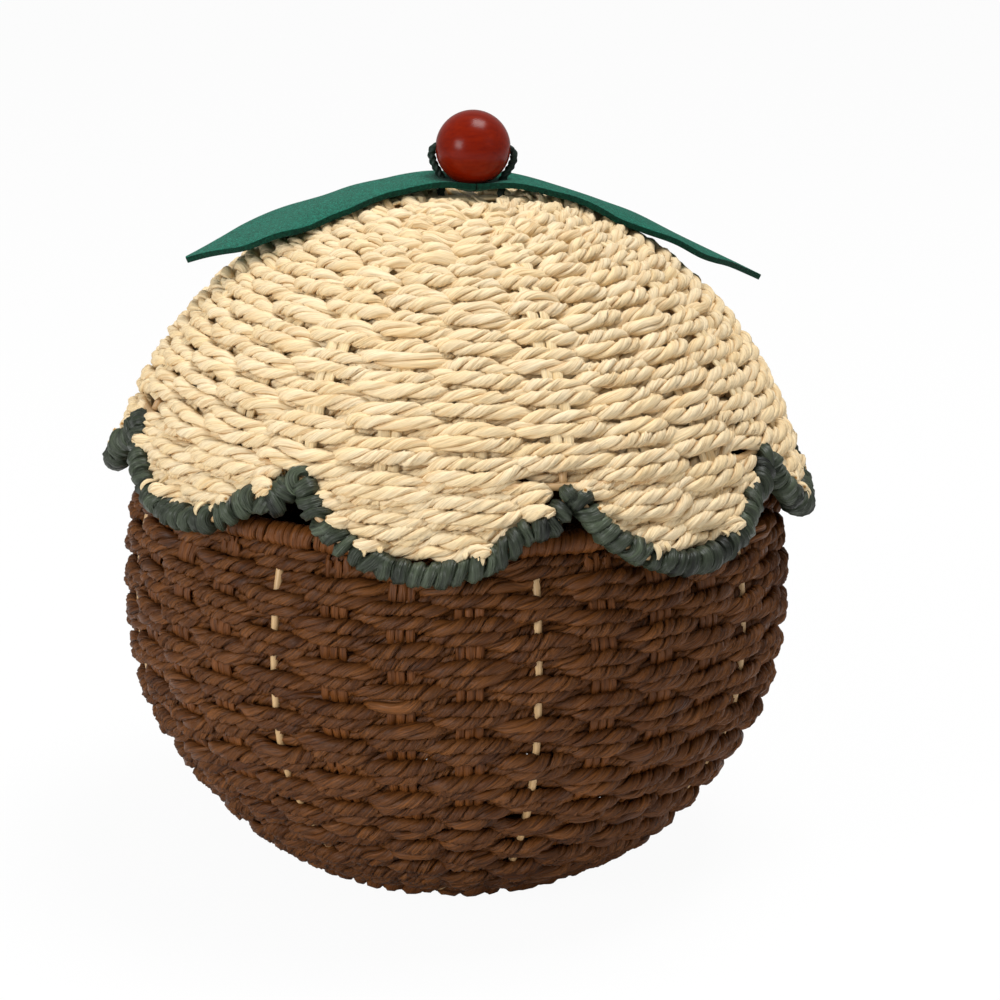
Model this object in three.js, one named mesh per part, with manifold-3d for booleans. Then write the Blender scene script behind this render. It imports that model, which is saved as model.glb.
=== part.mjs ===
// A round basket woven from paper rope, with a domed lift-off lid.
// The lid has a scalloped edge of eight lobes, two felt leaves and a wooden bead on top.
// Millimetres, +Z up. The origin is the middle of the base's underside, where it stands.

import * as THREE from 'three';
import { mergeVertices } from 'three/addons/utils/BufferGeometryUtils.js';
import Module from 'manifold-3d';

const wasm = await Module();
wasm.setup();

// Weave, wires and bindings
const weaveThickness = 8.4; // a rope outside each stake and a rope inside it
const wireRadius = 1.3; // bare wire of the ribs, the hoop and the edges
const gap = 0.3; // clearance between pieces that touch
const lashSlot = 1.2; // slot in a binding, on the side that meets the weave

// Basket
const bellyRadius = 113.6; // outer radius at its widest
const rimHeight = 141.5; // top of the rim binding
const rimDrawIn = 9.8; // how far the rim's middle line lies inside the belly
const rimTube = 4.2; // radius of the wrapped rim
const footRadius = 54; // middle line of the foot ring
const footTube = 3.8; // radius of the wrapped foot ring
const footFlat = 0.5; // depth of the flat that the foot stands on
const outerShoulder = 18; // degrees up the foot ring, where the wall starts outside
const innerShoulder = 23.4; // degrees up the foot ring, where the wall ends inside
const baseChamfer = 1;
const basketRibs = 8;
const basketRibTurn = -31.5; // degrees from the front to the first rib, towards +X
const ribLift = 8; // along the wall, from the foot ring to the ribs' ends
const ribShort = 2.4; // along the wall, from the ribs' ends to the rim

// Lid
const lidOverhang = 6.4; // how far the dome's sphere is larger than the belly
const lidTilt = 2.4; // degrees, the right side sits lower
const seatGap = 0.5; // between the dome and the rim
const crownDrop = 2.5; // how far the flat crown lies below the sphere's top
const lobes = 8;
const valleyTurn = 17; // degrees from the front to the first valley
const valleyRise = 43; // edge line above the sphere's centre in a valley
const lobeRise = 20; // edge line above the sphere's centre at the foot of a lobe
const valleyRounding = 0.06; // share of half a lobe that rounds the valley
const edgeTube = 4.4; // radius of the wrapped edge
const edgeSetIn = 1.5; // the edge line lies this far inside the dome's sphere
const hoopSetIn = 1.2; // so does the hoop's middle line
const hoopGap = 0.5; // between the hoop and the edge wire in a valley
const ribTopRadius = 14; // the lid's ribs start this far from the axis

// Leaves of thick felt
const rightLeafLength = 106;
const rightLeafTurn = 17; // degrees from +X towards the back
const leftLeafLength = 94;
const leftLeafTurn = 185;
const leafWidth = 40;
const leafThickness = 2.5;
const leafSlope = 0.5; // how steeply the outer stretch runs down
const leafBend = 45; // length over which a leaf bends into that slope
const leafDip = 12; // length over which the bead presses it down again
const leafGap = 2.5; // between the two leaves, whose ends are askew under the bead

// Bead, cord and knot
const beadRadius = 12.5;
const cordRadius = 1.5;
const cordPlay = 0.4; // clearance of the cord in the bead and in its holes
const cordLegs = 10; // each leg of the cord passes the crown this far from the axis
const knotRadius = 5.5;
const knotHeight = 8;
const knotDrop = 1.5; // the knot hangs this far under the crown

// Facets
const roundSteps = 40;
const wallSteps = 8;
const tubeSides = 7;
const wireSides = 6;
const ribSteps = 7;
const lobeSteps = 8;
const overFootSteps = 4; // where the wall passes over the foot ring
const leafSteps = 16;
const cordSteps = 40;
const cordSides = 8;
const beadSteps = 20;
const knotSteps = 12;

// Places that follow from the sizes
const degrees = Math.PI / 180;
const fullTurn = 2 * Math.PI;
const wireHole = wireRadius + gap;
const domeRadius = bellyRadius + lidOverhang;
const domeInside = domeRadius - weaveThickness;
const domeMiddle = domeRadius - weaveThickness / 2;
const rimRadius = bellyRadius - rimDrawIn;
const rimLine = rimHeight - rimTube;
const rimReach = domeInside - seatGap - rimTube;
const lidCentre = rimLine - Math.sqrt(rimReach ** 2 - rimRadius ** 2);
const footLine = footTube - footFlat;
const footReach = footTube + gap;
const edgeRadius = domeRadius - edgeSetIn;
const hoopRadius = domeRadius - hoopSetIn;
const hoopRise = valleyRise + 2 * wireRadius + hoopGap;
const crownHeight = domeRadius - crownDrop;
const crownInside = crownHeight - weaveThickness;
const leafAtBead = crownHeight + gap + leafThickness / 2;
const beadLine = leafAtBead + leafThickness / 2 + gap + beadRadius;
const knotLine = crownInside - knotDrop - knotHeight / 2;

// A closed mesh as a solid for joining and cutting, and back
function solidOf(geometry) {
  const bare = geometry.clone();
  bare.deleteAttribute('normal');
  bare.deleteAttribute('uv');
  const merged = mergeVertices(bare, 1e-4);
  const mesh = new wasm.Mesh({
    numProp: 3,
    vertProperties: new Float32Array(merged.attributes.position.array),
    triVerts: new Uint32Array(merged.index.array),
  });
  return new wasm.Manifold(mesh);
}

function geometryOf(solid) {
  const mesh = solid.getMesh();
  const geometry = new THREE.BufferGeometry();
  geometry.setAttribute('position', new THREE.BufferAttribute(mesh.vertProperties, 3));
  geometry.setIndex(new THREE.BufferAttribute(mesh.triVerts, 1));
  return geometry;
}

function cut(geometry, ...cutters) {
  let solid = solidOf(geometry);
  for (const cutter of cutters) {
    solid = solid.subtract(solidOf(cutter));
  }
  return geometryOf(solid);
}

function turnsOf(count, first) {
  return Array.from({ length: count }, (_, i) => first + (360 / count) * i);
}

// A point of the radius-height plane, turned from the front towards +X
function turned(radius, height, turn) {
  const a = turn * degrees;
  return new THREE.Vector3(radius * Math.sin(a), -radius * Math.cos(a), height);
}

// A round section, for revolving and for sweeping
function circlePoints(radius, sides) {
  return Array.from({ length: sides }, (_, i) => {
    const a = (fullTurn * i) / sides;
    return new THREE.Vector2(radius * Math.cos(a), radius * Math.sin(a));
  });
}

// A profile in the radius-height plane, turned about Z. It closes on itself or on the axis.
function revolve(points) {
  const profile = [...points];
  if (points.every((p) => p.x > 0)) {
    profile.push(points[0].clone());
  }
  return new THREE.LatheGeometry(profile, roundSteps).rotateX(Math.PI / 2);
}

function shifted(points, radius, height) {
  return points.map((p) => new THREE.Vector2(radius + p.x, height + p.y));
}

// Equal sections joined one after another, as a closed ring or with capped ends
function loft(sections, ring) {
  const count = sections[0].length;
  const spans = ring ? sections.length : sections.length - 1;
  const index = [];
  for (let i = 0; i < spans; i += 1) {
    const here = i * count;
    const next = ((i + 1) % sections.length) * count;
    for (let j = 0; j < count; j += 1) {
      const k = (j + 1) % count;
      index.push(here + j, next + k, here + k, here + j, next + j, next + k);
    }
  }
  const last = (sections.length - 1) * count;
  for (let j = 2; j < count && !ring; j += 1) {
    index.push(0, j - 1, j, last, last + j, last + j - 1);
  }
  const geometry = new THREE.BufferGeometry().setFromPoints(sections.flat());
  geometry.setIndex(index);
  return geometry;
}

// The C-shaped section of a binding wrapped round a wire. Its slot points along `open`,
// an angle, and it is flat where it would reach below `floor`.
function bindingSection(tube, open, floor = -tube) {
  const arc = (radius, sides) => {
    const lip = Math.asin(lashSlot / 2 / radius);
    return Array.from({ length: sides + 1 }, (_, i) => {
      const a = open + lip + ((fullTurn - 2 * lip) * i) / sides;
      return new THREE.Vector2(radius * Math.cos(a), Math.max(floor, radius * Math.sin(a)));
    });
  };
  return [...arc(tube, tubeSides), ...arc(wireHole, wireSides).reverse()];
}

// A rib between the lines of its inner and outer side, both in the radius-height plane
function ribBetween(inner, outer, turn) {
  const side = turned(wireRadius, 0, turn - 90);
  const sections = inner.map((low, i) => {
    const middle = turned((low.x + outer[i].x) / 2, (low.y + outer[i].y) / 2, turn);
    const out = turned(outer[i].x, outer[i].y, turn).sub(middle);
    return circlePoints(1, wireSides).map((p) => (
      middle.clone().addScaledVector(out, p.x).addScaledVector(side, p.y)
    ));
  });
  return loft(sections, false);
}

// The channel that a rib lies in: a plate between two lines in the radius-height plane
function ribChannel(floor, open, turn) {
  const plate = new THREE.ExtrudeGeometry(new THREE.Shape([...open, ...floor.reverse()]), {
    depth: 2 * wireHole, bevelEnabled: false,
  });
  plate.translate(0, 0, -wireHole);
  plate.rotateX(Math.PI / 2);
  plate.rotateZ((turn - 90) * degrees);
  return plate;
}

// The wall leaves the foot ring on its outer shoulder and ends under the rim binding
const wallStart = new THREE.Vector2(
  footRadius + footReach * Math.cos(outerShoulder * degrees),
  footLine + footReach * Math.sin(outerShoulder * degrees),
);
const wallEnd = new THREE.Vector2(
  rimRadius + weaveThickness / 2,
  rimLine - rimTube - gap,
);

// The bowl's curve between them: shares of the way out to the belly and up to the rim
const bowlShape = [
  [0.145, 0.023], [0.325, 0.076], [0.522, 0.167], [0.738, 0.292],
  [0.907, 0.432], [0.984, 0.58], [1, 0.729], [0.971, 0.877],
];

const bowlCurve = new THREE.SplineCurve([
  wallStart,
  ...bowlShape.map(([out, up]) => new THREE.Vector2(
    wallStart.x + out * (bellyRadius - wallStart.x),
    wallStart.y + up * (wallEnd.y - wallStart.y),
  )),
  wallEnd,
]);

// A point of the wall at a depth below its outer face, and a line of such points
function wallPoint(share, depth) {
  const p = bowlCurve.getPointAt(share);
  const t = bowlCurve.getTangentAt(share);
  return new THREE.Vector2(p.x - depth * t.y, p.y + depth * t.x);
}

function wallLine(depth, steps = wallSteps, from = 0, to = 1) {
  return Array.from({ length: steps + 1 }, (_, i) => (
    wallPoint(from + ((to - from) * i) / steps, depth)
  ));
}

// Each rib lies in the middle of the wall, in a channel that is open to the outside
const ribFrom = ribLift / bowlCurve.getLength();
const ribTo = 1 - ribShort / bowlCurve.getLength();

function basketChannel(turn) {
  const floorDepth = weaveThickness / 2 + wireHole;
  return ribChannel(
    [
      wallPoint(ribFrom / 2, floorDepth),
      ...wallLine(floorDepth, ribSteps, ribFrom, ribTo),
      wallPoint(1, floorDepth),
    ],
    wallLine(-weaveThickness, ribSteps, ribFrom / 2, 1),
    turn,
  );
}

function basketWall() {
  const inside = wallLine(weaveThickness).reverse();
  inside[0].set(wallEnd.x - weaveThickness, wallEnd.y);
  const first = Math.PI - innerShoulder * degrees;
  const step = (first - outerShoulder * degrees) / overFootSteps;
  const overFoot = Array.from({ length: overFootSteps }, (_, i) => {
    const a = first - i * step;
    const reach = footReach / Math.cos(step / 2);
    return new THREE.Vector2(
      footRadius + reach * Math.cos(a),
      footLine + reach * Math.sin(a),
    );
  });
  const seam = new THREE.Vector2(overFoot[0].x, weaveThickness);
  const channels = turnsOf(basketRibs, basketRibTurn).map(basketChannel);
  return cut(revolve([...wallLine(0), ...inside, seam, ...overFoot]), ...channels);
}

function basketBase() {
  const radius = footRadius - footTube - gap;
  return revolve([
    new THREE.Vector2(0, 0),
    new THREE.Vector2(radius - baseChamfer, 0),
    new THREE.Vector2(radius, baseChamfer),
    new THREE.Vector2(radius, weaveThickness - baseChamfer),
    new THREE.Vector2(radius - baseChamfer, weaveThickness),
    new THREE.Vector2(0, weaveThickness),
  ]);
}

function footBinding() {
  const section = bindingSection(footTube, Math.PI / 2, -footLine);
  return revolve(shifted(section, footRadius, footLine));
}

function rimBinding() {
  return revolve(shifted(bindingSection(rimTube, -Math.PI / 2), rimRadius, rimLine));
}

function ringWire(radius, height) {
  return revolve(shifted(circlePoints(wireRadius, wireSides), radius, height));
}

function basketRib(turn) {
  const middle = weaveThickness / 2;
  return ribBetween(
    wallLine(middle + wireRadius, ribSteps, ribFrom, ribTo),
    wallLine(middle - wireRadius, ribSteps, ribFrom, ribTo),
    turn,
  );
}

// The edge line of the lid. A whole `place` is a valley, and each lobe is an arc.
const lobeDepth = valleyRise - lobeRise;
const edgeTilt = Math.asin((valleyRise + lobeRise) / 2 / edgeRadius);
const halfLobe = (edgeRadius * Math.cos(edgeTilt) * Math.PI) / lobes;
const lobeArc = (halfLobe ** 2 + lobeDepth ** 2) / (2 * lobeDepth);

function edgePoint(place) {
  const fromMiddle = Math.abs(2 * (place - Math.floor(place)) - 1);
  const fromValley = Math.hypot(1 - fromMiddle, valleyRounding) - valleyRounding;
  const along = halfLobe * (1 - fromValley);
  const height = lobeRise + lobeArc - Math.sqrt(lobeArc ** 2 - along ** 2);
  const radius = Math.sqrt(edgeRadius ** 2 - height ** 2);
  return turned(radius, height, valleyTurn + (360 / lobes) * place);
}

// Middle, outward and upward directions of the edge at each step round the lid. The
// direction along it is read a quarter of a step to either side.
const alongReach = 0.25 / lobeSteps;

function edgeFrames() {
  return Array.from({ length: lobes * lobeSteps }, (_, i) => {
    const place = i / lobeSteps;
    const middle = edgePoint(place);
    const along = edgePoint(place + alongReach).sub(edgePoint(place + lobes - alongReach));
    const out = middle.clone().normalize();
    const up = new THREE.Vector3().crossVectors(out, along).normalize();
    return { middle, out, up };
  });
}

function edgeSweep(section) {
  const sections = edgeFrames().map(({ middle, out, up }) => section.map((p) => (
    middle.clone().addScaledVector(out, p.x).addScaledVector(up, p.y)
  )));
  return loft(sections, true);
}

// All that lies below the lid's edge: the dome's weave ends one gap above the binding
function skirtCutter() {
  const deep = domeInside - weaveThickness;
  const wide = domeRadius + weaveThickness;
  const sections = edgeFrames().map(({ middle, up }) => {
    const seat = middle.clone().addScaledVector(up, edgeTube + gap).normalize();
    const below = middle.clone().setZ(-weaveThickness).normalize();
    return [
      below.clone().multiplyScalar(deep),
      below.clone().multiplyScalar(wide),
      seat.clone().multiplyScalar(wide),
      seat.clone().multiplyScalar(deep),
    ];
  });
  return loft(sections, true);
}

// A point of a circle about the sphere's centre, and an arc of such points
function domePoint(radius, angle) {
  return new THREE.Vector2(radius * Math.cos(angle), radius * Math.sin(angle));
}

function domeArc(radius, from, to, steps) {
  return Array.from({ length: steps + 1 }, (_, i) => (
    domePoint(radius, from + ((to - from) * i) / steps)
  ));
}

// The hoop lies in a groove of this section, which also notches the binding
function hoopGroove() {
  const height = hoopRise;
  const radius = Math.sqrt(hoopRadius ** 2 - height ** 2);
  const section = [
    [-wireHole, -wireHole], [weaveThickness, -wireHole],
    [weaveThickness, wireHole], [-wireHole, wireHole],
  ];
  return revolve(section.map(([x, y]) => new THREE.Vector2(radius + x, height + y)));
}

function domeHoop() {
  return ringWire(Math.sqrt(hoopRadius ** 2 - hoopRise ** 2), hoopRise);
}

// The lid's ribs run from beside the crown to just above the valleys
const ribTop = Math.acos(ribTopRadius / domeMiddle);
const ribFoot = Math.asin(valleyRise / edgeRadius) + (edgeTube + gap) / domeMiddle;

function lidChannel(turn) {
  const floor = domeMiddle - wireHole;
  const end = ribTop + gap / domeMiddle;
  return ribChannel(
    [domePoint(floor, 0), ...domeArc(floor, ribFoot, ribTop, ribSteps), domePoint(floor, end)],
    domeArc(domeRadius + weaveThickness, 0, end, ribSteps),
    turn,
  );
}

function cordHole(side, height) {
  const hole = new THREE.CylinderGeometry(
    cordRadius + cordPlay, cordRadius + cordPlay, 5 * weaveThickness, cordSides,
  );
  return hole.rotateX(Math.PI / 2).translate(side * cordLegs, 0, height);
}

function lidWeave() {
  const skirt = Math.asin(lobeRise / 2 / domeInside);
  const profile = [
    new THREE.Vector2(0, crownInside),
    ...domeArc(domeInside, Math.asin(crownInside / domeInside), skirt, wallSteps),
    ...domeArc(domeRadius, skirt, Math.asin(crownHeight / domeRadius), wallSteps),
    new THREE.Vector2(0, crownHeight),
  ];
  return cut(
    revolve(profile),
    skirtCutter(),
    hoopGroove(),
    ...turnsOf(lobes, valleyTurn).map(lidChannel),
    cordHole(-1, crownHeight),
    cordHole(1, crownHeight),
  );
}

function lidRib(turn) {
  return ribBetween(
    domeArc(domeMiddle - wireRadius, ribFoot, ribTop, ribSteps),
    domeArc(domeMiddle + wireRadius, ribFoot, ribTop, ribSteps),
    turn,
  );
}

function edgeBinding() {
  return cut(edgeSweep(bindingSection(edgeTube, Math.PI / 2)), hoopGroove());
}

function edgeWire() {
  return edgeSweep(circlePoints(wireRadius, wireSides));
}

// Half the leaf's width along its length, as shares: three soft lobes and a blunt tip
const leafOutline = new THREE.SplineCurve([
  [0, 0.46], [0.12, 0.52], [0.24, 0.55], [0.31, 0.57], [0.42, 0.8], [0.51, 0.8],
  [0.64, 1], [0.78, 0.78], [0.87, 0.47], [0.94, 0.23], [1, 0.06],
].map(([x, y]) => new THREE.Vector2(x, (y * leafWidth) / 2)));

// How far a leaf runs down at a distance from the bead, and the height of its middle
// that just lets it lie on the dome
function leafFall(s) {
  return leafSlope * (Math.hypot(s, leafBend) - leafBend);
}

const leafOnDome = domeRadius + gap + leafThickness / 2;
const leafStations = Array.from({ length: leafSteps + 1 }, (_, i) => (
  (i * rightLeafLength) / leafSteps
));
const leafTop = Math.max(
  ...leafStations.map((s) => Math.sqrt(leafOnDome ** 2 - s ** 2) + leafFall(s)),
);

// Height of the felt's middle: the bead presses it down on the crown
function leafHeight(s) {
  const dip = (leafTop - leafAtBead) * Math.exp(-((s / leafDip) ** 2));
  return leafTop - dip - leafFall(s);
}

// A leaf along +X of its own frame, bent over the dome and lying on it near mid-length
function leaf(turn, length) {
  const frame = new THREE.Matrix4().makeRotationZ(turn * degrees);
  const sections = Array.from({ length: leafSteps + 1 }, (_, i) => {
    const { x: share, y: half } = leafOutline.getPoint(i / leafSteps);
    const s = share * length;
    const slope = Math.atan(leafHeight(s + 0.5) - leafHeight(s - 0.5));
    const rise = new THREE.Vector3(-Math.sin(slope), 0, Math.cos(slope));
    const middle = new THREE.Vector3(s + leafGap / 2, 0, leafHeight(s));
    const corners = [[-1, 1], [1, 1], [1, -1], [-1, -1]];
    return corners.map(([side, face]) => (
      middle.clone()
        .addScaledVector(rise, (face * leafThickness) / 2)
        .add(new THREE.Vector3(0, side * half, 0))
        .applyMatrix4(frame)
    ));
  });
  return cut(loft(sections, false), cordHole(-1, crownHeight), cordHole(1, crownHeight));
}

// The bead turns on its cord, which runs through the bore along X
function bead() {
  const bore = new THREE.CylinderGeometry(
    cordRadius + cordPlay, cordRadius + cordPlay, 4 * beadRadius, cordSides,
  );
  return cut(
    new THREE.SphereGeometry(beadRadius, beadSteps, beadSteps / 2).rotateZ(Math.PI / 2),
    bore.rotateZ(Math.PI / 2),
  );
}

// Right half of the cord's route, from the bead's middle down to the knot
const cordRoute = [
  [6, beadLine], [12, beadLine], [13.6, beadLine - 0.5], [14.4, beadLine - 2.3],
  [14.2, beadLine - 4.4], [13.2, beadLine - 6.5], [11.8, beadLine - 8.7],
  [10.5, beadLine - 10.4], [cordLegs, beadLine - 12], [cordLegs, beadLine - 14],
  [cordLegs, crownInside + 3], [cordLegs, crownInside - 1], [9.4, knotLine + 1.9],
  [7.8, knotLine + 0.4], [knotRadius + gap, knotLine],
];

function beadCord() {
  const right = cordRoute.map(([x, z]) => new THREE.Vector3(x, 0, z));
  const left = cordRoute.map(([x, z]) => new THREE.Vector3(-x, 0, z)).reverse();
  return new THREE.ExtrudeGeometry(new THREE.Shape(circlePoints(cordRadius, cordSides)), {
    steps: cordSteps,
    extrudePath: new THREE.CatmullRomCurve3([...left, ...right]),
    bevelEnabled: false,
  });
}

function crownKnot() {
  const half = knotHeight / 2;
  return new THREE.SphereGeometry(1, knotSteps, knotSteps / 2)
    .rotateX(Math.PI / 2)
    .scale(knotRadius, knotRadius, half);
}

// Colours and finishes
const finish = (color, roughness, metalness = 0) => (
  new THREE.MeshStandardMaterial({ color, roughness, metalness, flatShading: true })
);
const brownRope = finish(0x663c1e, 0.85);
const creamRope = finish(0xf0dbab, 0.85);
const tanWire = finish(0xc8a573, 0.55);
const greenBinding = finish(0x3f483f, 0.8);
const greenFelt = finish(0x2d785f, 0.95);
const redPaint = finish(0x7a1a10, 0.3);
const darkCord = finish(0x1c2b24, 0.8);

function piece(name, geometry, material) {
  geometry.computeVertexNormals();
  const mesh = new THREE.Mesh(geometry, material);
  mesh.name = name;
  return mesh;
}

function makeBasket() {
  const basket = new THREE.Group();
  basket.add(
    piece('base_weave', basketBase(), brownRope),
    piece('foot_wire', ringWire(footRadius, footLine), tanWire),
    piece('foot_binding', footBinding(), brownRope),
    piece('body_weave', basketWall(), brownRope),
    piece('rim_wire', ringWire(rimRadius, rimLine), tanWire),
    piece('rim_binding', rimBinding(), brownRope),
  );
  turnsOf(basketRibs, basketRibTurn).forEach((turn, i) => {
    basket.add(piece(`body_rib_${i + 1}`, basketRib(turn), tanWire));
  });
  return basket;
}

function makeLid() {
  const lid = new THREE.Group();
  lid.position.z = lidCentre;
  lid.rotation.y = lidTilt * degrees;
  lid.add(
    piece('lid_weave', lidWeave(), creamRope),
    piece('lid_hoop', domeHoop(), tanWire),
    piece('edge_wire', edgeWire(), tanWire),
    piece('edge_binding', edgeBinding(), greenBinding),
  );
  turnsOf(lobes, valleyTurn).forEach((turn, i) => {
    lid.add(piece(`lid_rib_${i + 1}`, lidRib(turn), tanWire));
  });
  lid.add(
    piece('leaf_right', leaf(rightLeafTurn, rightLeafLength), greenFelt),
    piece('leaf_left', leaf(leftLeafTurn, leftLeafLength), greenFelt),
    piece('bead_cord', beadCord(), darkCord),
  );
  const knot = piece('crown_knot', crownKnot(), darkCord);
  knot.position.z = knotLine;
  const wooden = piece('bead', bead(), redPaint);
  wooden.position.z = beadLine;
  lid.add(knot, wooden);
  return lid;
}

const paperRopeBasket = new THREE.Group();
paperRopeBasket.add(makeBasket(), makeLid());

export default paperRopeBasket;
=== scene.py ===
# %% [markdown]
# # A round basket of paper rope, with a scalloped lid
# The basket is woven from brown paper rope over 32 uprights, and its domed lid from cream
# rope over 24. The lid's edge runs in eight lobes and is bound with flat green strand.
# A painted wooden bead holds two felt leaves on the crown.
# This lesson makes every rope, strand and wire as the real one lies, around the CAD frame.

# %% The frame
import math

import bmesh
import bpy
import numpy as np
from mathutils import Matrix, Vector


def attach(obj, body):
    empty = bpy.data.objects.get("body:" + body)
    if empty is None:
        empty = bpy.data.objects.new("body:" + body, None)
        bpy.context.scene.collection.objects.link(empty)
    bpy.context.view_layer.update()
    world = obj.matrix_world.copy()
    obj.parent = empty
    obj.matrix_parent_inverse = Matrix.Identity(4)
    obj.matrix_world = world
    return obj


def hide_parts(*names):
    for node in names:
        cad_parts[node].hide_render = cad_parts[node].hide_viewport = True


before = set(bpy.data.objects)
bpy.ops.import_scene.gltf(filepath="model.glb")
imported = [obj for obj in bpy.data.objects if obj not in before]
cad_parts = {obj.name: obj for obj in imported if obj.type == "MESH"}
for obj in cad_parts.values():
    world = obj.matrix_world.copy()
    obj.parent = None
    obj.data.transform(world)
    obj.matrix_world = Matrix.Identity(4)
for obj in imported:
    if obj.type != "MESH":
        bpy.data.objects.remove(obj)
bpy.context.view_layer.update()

# %% [markdown]
# ## The camera
# The photograph looks slightly down at the front from about a metre away. A long lens
# keeps the basket's outline nearly parallel. The aim is the middle of the basket, and a
# small shift moves that middle to where the photograph has it.

# %% Camera
MM = 0.001  # all sizes below are in millimetres, and every finished mesh is scaled by this


def new_object(name, data):
    made = bpy.data.objects.new(name, data)
    bpy.context.collection.objects.link(made)
    return made


def make_camera(distance, elevation, aim_height, lens, shift):
    camera = new_object("camera", bpy.data.cameras.new("camera"))
    tip = math.radians(elevation)
    camera.location = (
        0, -distance * math.cos(tip) * MM, (aim_height + distance * math.sin(tip)) * MM,
    )
    camera.rotation_euler = (math.pi / 2 - tip, 0, 0)
    camera.data.lens = lens
    camera.data.shift_x, camera.data.shift_y = shift
    bpy.context.scene.camera = camera
    return camera


camera = make_camera(distance=1000, elevation=15.5, aim_height=130, lens=105.1,
                     shift=(0.0438, -0.0196))
print("camera at", tuple(round(x, 3) for x in camera.location))

# %% [markdown]
# ## Sizes
# The sizes repeat the CAD model's, in millimetres, so that each rope runs where the
# solid that it replaces stands. The lid has a frame of its own: its dome is part of a
# sphere about that frame's origin, and the whole lid sits tipped by 2.4 degrees.

# %% Sizes
FULL_TURN = 2 * math.pi
STEP = 1.4  # between the points of a rope's route
CLEARANCE = 0.3  # the gap that the CAD leaves between seated pieces
LID_GAP = 0.5  # between the dome's inner face and the rim
WALL = 8.4  # thickness of the weave, from the outer rope's face to the inner one's
WIRE = 1.3
BELLY = 113.6
RIM_HEIGHT = 141.5
RIM_RADIUS = 103.8
RIM_TUBE = 4.2
RIM_LINE = RIM_HEIGHT - RIM_TUBE
FOOT_RADIUS = 54
FOOT_TUBE = 3.8
FOOT_LINE = 3.3
DOME = 120
DOME_MIDDLE = DOME - WALL / 2
CROWN_MIDDLE = 113.3  # the dome is flat at this height over its centre
LID_CENTRE = RIM_LINE - math.sqrt((DOME - WALL - LID_GAP - RIM_TUBE) ** 2 - RIM_RADIUS ** 2)
LID_TILT = 2.4
EDGE_RADIUS = 118.5
EDGE_TUBE = 4.4
HOOP_RADIUS = 116.8
HOOP_RISE = 46.1
VALLEY_TURN = 17
LOBES = 8
BODY_FIRST = -31.5  # degrees from the front to the first rib of the basket
BEAD_LINE = 133.1
lid_frame = Matrix.Translation((0, 0, LID_CENTRE * MM)) @ Matrix.Rotation(
    math.radians(LID_TILT), 4, "Y"
)
print("lid frame at", round(LID_CENTRE, 2))


def catmull_rom(points, steps=24):
    """A smooth line through the given points, as an array of closely spaced ones."""
    points = np.asarray(points, float)
    ends = np.vstack([points[:1], points, points[-1:]])
    t = np.linspace(0, 1, steps, endpoint=False)[:, None]
    spans = []
    for p0, p1, p2, p3 in zip(ends, ends[1:], ends[2:], ends[3:]):
        v0, v1 = (p2 - p0) / 2, (p3 - p1) / 2
        spans.append(
            (2 * p1 - 2 * p2 + v0 + v1) * t ** 3
            + (-3 * p1 + 3 * p2 - 2 * v0 - v1) * t ** 2 + v0 * t + p1
        )
    return np.vstack([*spans, points[-1:]])


def run_of(points):
    """How far along the line each of its points lies."""
    steps = np.linalg.norm(np.diff(points, axis=0), axis=1)
    return np.concatenate([[0], np.cumsum(steps)])


def whole_turn(count):
    """Even steps of one turn, without its end."""
    return np.linspace(0, FULL_TURN, count, endpoint=False)


def around(radius, turn, height):
    """Points about the axis, turned from the front."""
    return np.column_stack([radius * np.sin(turn), -radius * np.cos(turn),
                            height + 0 * turn])


# %% [markdown]
# ## The surfaces that are woven
# Each woven surface is a line in the plane of radius and height, turned about the axis.
# A rope's place is then three numbers: how far along that line it lies, how far outside
# the line, and how far it is turned about the axis from the front.

# %% Woven surfaces


class Surface:
    """A surface of revolution that ropes are laid on."""

    def __init__(self, points, outward):
        self.points = np.asarray(points, float)
        self.run = run_of(self.points)
        self.length = self.run[-1]
        slope = np.gradient(self.points, self.run, axis=0)
        self.out = outward * np.column_stack([slope[:, 1], -slope[:, 0]])

    def flat(self, along, outside):
        """Radius and height at a distance along the line and outside it."""
        radius = np.interp(along, self.run, self.points[:, 0])
        height = np.interp(along, self.run, self.points[:, 1])
        out_r = np.interp(along, self.run, self.out[:, 0])
        out_h = np.interp(along, self.run, self.out[:, 1])
        return radius + outside * out_r, height + outside * out_h

    def place(self, along, outside, turn):
        radius, height = self.flat(along, outside)
        return around(radius, turn, height)

    def radius_at(self, along):
        return float(np.interp(along, self.run, self.points[:, 0]))


def wall_line():
    """The basket's wall, from the foot to the rim, in the middle of its thickness."""
    shoulder = math.radians(18)
    reach = FOOT_TUBE + CLEARANCE
    start = np.array([FOOT_RADIUS + reach * math.cos(shoulder),
                      FOOT_LINE + reach * math.sin(shoulder)])
    end = np.array([RIM_RADIUS + WALL / 2, RIM_LINE - RIM_TUBE - CLEARANCE])
    shares = [
        (0.145, 0.023), (0.325, 0.076), (0.522, 0.167), (0.738, 0.292),
        (0.907, 0.432), (0.984, 0.58), (1, 0.729), (0.971, 0.877),
    ]
    middle = [start + np.array([out, up]) * (BELLY - start[0], end[1] - start[1])
              for out, up in shares]
    outer = catmull_rom([start, *middle, end])
    face = Surface(outer, 1)
    return Surface(face.points - WALL / 2 * face.out, 1)


def dome_line():
    """The lid's dome, from its centre outwards and down, in the middle of its thickness."""
    angle = np.radians(np.arange(90, 3, -0.25))
    height = DOME_MIDDLE * np.sin(angle)
    soft = 0.6
    height = CROWN_MIDDLE - soft * np.log1p(np.exp((CROWN_MIDDLE - height) / soft))
    return Surface(np.column_stack([DOME_MIDDLE * np.cos(angle), height]), -1)


def base_line():
    """The flat base, a little above the floor, so that its outer ropes clear it."""
    height = WALL / 2 + 0.7
    return Surface(np.column_stack([np.linspace(0, 52, 60), np.full(60, height)]), 1)


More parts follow.
